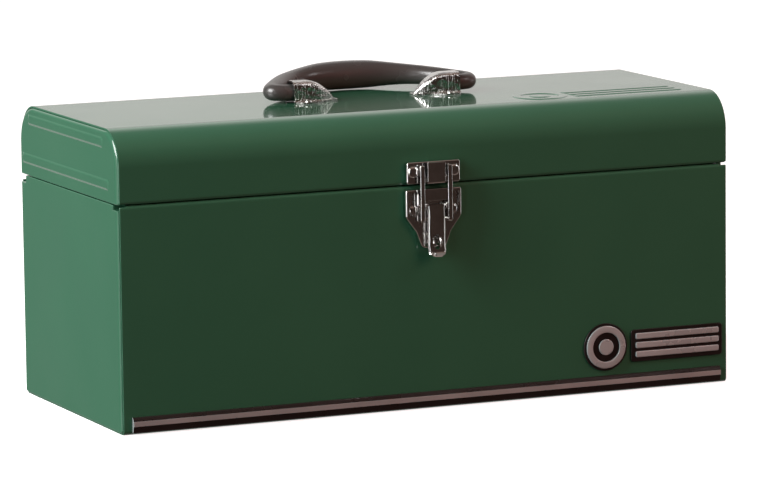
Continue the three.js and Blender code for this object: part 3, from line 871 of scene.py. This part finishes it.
def build_trim():
    low, high = extent("front_trim")
    back, front = high.y, low.y
    stripe_foot, stripe_crest = low.z + 5.2, low.z + 8.9
    profile = rounded([
        (back, low.z), (back - 1.6, low.z, 0.5), (front + 0.7, low.z + 4, 1), (front + 0.5, low.z + 5),
        (front, stripe_foot, 0.2), (front, stripe_crest, 0.2), (front + 0.5, low.z + 9.1),
        (front + 0.9, low.z + 10, 0.5), (back - 1.9, high.z - 0.7, 0.6), (back - 1.2, high.z, 0.4),
        (back, high.z),
    ], True, 3)
    bm = bmesh.new()
    prism(bm, profile, place_x, low.x, high.x)
    for face in bm.faces:
        centre = face.calc_center_median()
        on_stripe = stripe_foot - 0.1 < centre.z < stripe_crest + 0.1 and centre.y < front + 0.4
        if on_stripe or abs(centre.x) > high.x - 1:
            face.material_index = 1
    piece(bm, "front_moulding", "case", [TRIM_DARK, TRIM_BRIGHT], ["front_trim"], bevel=0.15)


def build_badge():
    """A plain disc and ring beside three plain bars, each silver relief with chamfered edges on black."""
    for node, name in (("badge_disc", "badge_back_disc"), ("badge_plate", "badge_back_plate")):
        low, high = extent(node)
        centre = (low + high) / 2
        bm = bmesh.new()
        if node == "badge_disc":
            outline = circle(centre.x, centre.z, high.x - centre.x, 96)
        else:
            outline = box_outline(low.x, low.z, high.x, high.z, 2.5)
        prism(bm, outline, place_y, low.y, high.y)
        piece(bm, name, "case", [BADGE_BLACK], [node], bevel=0.35)
    low, high = extent("badge_ring")
    centre = (low + high) / 2
    outer, inner = high.x - centre.x, 11.4
    chamfer = 0.7
    shoulder = low.y + 0.5
    profile = [
        (outer, high.y), (outer, shoulder), (outer - chamfer, low.y),
        (inner + chamfer, low.y), (inner, shoulder), (inner, high.y),
    ]
    bm = bmesh.new()
    rows = [row(bm, place_y(circle(centre.x, centre.z, radius, 96), y)) for radius, y in profile]
    bridge(bm, [*rows, rows[0]])
    piece(bm, "badge_relief_ring", "case", [BADGE_SILVER], ["badge_ring"], bevel=0.12)
    for node in ("badge_boss", "badge_bar_1", "badge_bar_2", "badge_bar_3"):
        low, high = extent(node)
        centre = (low + high) / 2
        rings = []
        for inset, y in ((0, high.y), (0, shoulder), (chamfer, low.y)):
            if node == "badge_boss":
                outline = circle(centre.x, centre.z, high.x - centre.x - inset, 64)
            else:
                outline = box_outline(
                    low.x + inset, low.z + inset, high.x - inset, high.z - inset, 1.2 - inset)
            rings.append(place_y(outline, y))
        bm = bmesh.new()
        loft(bm, rings)
        piece(bm, node.replace("badge", "badge_relief"), "case", [BADGE_SILVER], [node], bevel=0.12)


# ---------------------------------------------------------------- carried-over CAD nodes

def dress_cad_nodes():
    finishes = (
        (GREEN, ("tray_rail_left", "tray_rail_right", "tray_pan", "tray_divider_left", "tray_divider_right")),
        (ZINC, ("hinge_leaf_case", "hinge_leaf_lid", "hinge_pin", "tray_handle")),
    )
    for material, names in finishes:
        for name in names:
            node = frame["nodes"][name]
            node.data.materials.clear()
            node.data.materials.append(material)
            soften(node, 0.25)


build_case_wrap()
build_lid_wrap()
for side, label in ((-1, "left"), (1, "right")):
    build_case_end(side, label)
    build_lid_end(side, label)
    build_hood(side, label)
build_grip()
build_latch_base()
build_lever()
build_bail()
build_catch()
build_pins()
build_staple()
build_rivets()
build_trim()
build_badge()
dress_cad_nodes()


# ---------------------------------------------------------------- floor, light and camera

def build_floor():
    bm = bmesh.new()
    reach = 40000
    bm.faces.new(row(bm, place_z(box_outline(-reach, -reach, reach, reach, 0), -0.2)))
    bmesh.ops.scale(bm, vec=(MM, MM, MM), verts=bm.verts)
    mesh = bpy.data.meshes.new("floor")
    bm.to_mesh(mesh)
    bm.free()
    floor = bpy.data.objects.new("floor", mesh)
    bpy.context.scene.collection.objects.link(floor)
    material, nodes, shader, place = new_material("pale floor", "")
    mottle = nodes.noise(place, 3.0, 2.0)
    nodes.join(nodes.blend(mottle, colour(0.60, 0.60, 0.60), colour(0.62, 0.62, 0.62)), shader, "Base Color")
    shader.inputs["Roughness"].default_value = 0.9
    shader.inputs["Specular IOR Level"].default_value = 0.0
    shader.inputs["Emission Color"].default_value = colour(1, 1, 1)
    shader.inputs["Emission Strength"].default_value = 0.8
    mesh.materials.append(material)
    floor.visible_glossy = False
    floor.visible_diffuse = False
    floor.visible_shadow = False


def build_world():
    """A studio that is bright behind the box except for a dim stretch to its left, dimmer overhead and
    below, dark and warm in front, and plain white to the camera."""
    world = bpy.data.worlds.new("studio")
    bpy.context.scene.world = world
    world.use_nodes = True
    nodes = Nodes(world.node_tree)
    background = world.node_tree.nodes["Background"]
    direction = nodes.add("ShaderNodeTexCoord").outputs["Generated"]
    parts = nodes.add("ShaderNodeSeparateXYZ", Vector=direction).outputs
    behind = nodes.span(parts["Y"], -0.4, 0.5, 0.04, 0.76)
    overhead = nodes.span(parts["Z"], 0.52, 0.86)
    far_left = nodes.span(parts["X"], -0.9, -0.6, 1.0, 0.0)
    sideways = nodes.math("MAXIMUM", nodes.span(parts["X"], -0.38, -0.12, 0.15, 1.0), far_left)
    level = nodes.math("MULTIPLY", behind, sideways)
    level = nodes.math("MULTIPLY", level, nodes.span(parts["Z"], 0.2, 0.5, 1.0, 1.5))
    level = nodes.between(overhead, level, 0.25)
    ground = nodes.span(parts["Z"], -0.42, -0.2, 1.0, 0.0)
    light = nodes.between(ground, level, nodes.span(parts["Y"], -0.6, 0.4, 0.05, 0.6))
    seen = nodes.add("ShaderNodeLightPath").outputs["Is Camera Ray"]
    plain = nodes.between(seen, light, 1.0)
    warmth = nodes.span(parts["Y"], -0.5, 0.5)
    tint = nodes.blend(warmth, colour(1.0, 0.68, 0.56), colour(1.0, 0.97, 0.94))
    nodes.join(nodes.blend(seen, tint, colour(1, 1, 1)), background, "Color")
    nodes.join(plain, background, "Strength")


def area_light(name, place, aim, width, height, radiance, tint=(1, 1, 1), mirrored=True):
    """A soft box with the given radiance. One that isn't mirrored leaves no highlight."""
    lamp = bpy.data.lights.new(name, "AREA")
    lamp.color = tint
    lamp.shape = "RECTANGLE"
    lamp.size, lamp.size_y = width, height
    lamp.energy = radiance * math.pi * width * height
    thing = bpy.data.objects.new(name, lamp)
    thing.location = place
    thing.rotation_mode = "QUATERNION"
    thing.rotation_quaternion = (Vector(aim) - Vector(place)).to_track_quat("-Z", "Y")
    thing.visible_camera = False
    thing.visible_glossy = mirrored
    bpy.context.scene.collection.objects.link(thing)


def build_lights():
    middle = (0, 0, 0.12)
    area_light("left_box", (-2.1, -0.15, 1.35), middle, 1.5, 1.4, 18.5)
    area_light("left_edge", (-2.4, -0.3, 0.0), middle, 0.2, 1.4, 8.0)
    area_light("front_strip", (-1.75, -1.5, 0.0), middle, 0.25, 1.4, 5.0)
    area_light("right_strip", (2.3, -0.55, 0.25), middle, 0.35, 1.5, 2.5)
    area_light("right_spark", (2.2, -1.5, 1.9), middle, 0.45, 0.6, 9.0)
    area_light("warm_fill", (1.2, -2.2, 1.2), middle, 1.4, 1.4, 8.0, (1.0, 0.34, 0.28), mirrored=False)


def build_camera():
    """The viewing angle: round from the front to the left, a little above, far off with a long lens."""
    azimuth, elevation, roll = math.radians(-23.727), math.radians(8.410), math.radians(-0.681)
    distance = 3.9744
    target = Vector((0.00454, 0.0, 0.1124))
    level = math.cos(elevation)
    back = Vector((math.sin(azimuth) * level, -math.cos(azimuth) * level, math.sin(elevation)))
    camera = bpy.data.objects.new("camera", bpy.data.cameras.new("camera"))
    camera.data.sensor_width = 36.0
    camera.data.lens = 241.6
    camera.data.clip_start, camera.data.clip_end = 0.1, 200.0
    camera.location = target + back * distance
    camera.rotation_mode = "QUATERNION"
    turn = (-back).to_track_quat("-Z", "Y")
    camera.rotation_quaternion = (Matrix.Rotation(roll, 3, back) @ turn.to_matrix()).to_quaternion()
    bpy.context.scene.collection.objects.link(camera)
    bpy.context.scene.camera = camera


build_floor()
build_world()
build_lights()
build_camera()
bpy.context.scene.view_settings.view_transform = "Standard"
bpy.context.view_layer.update()
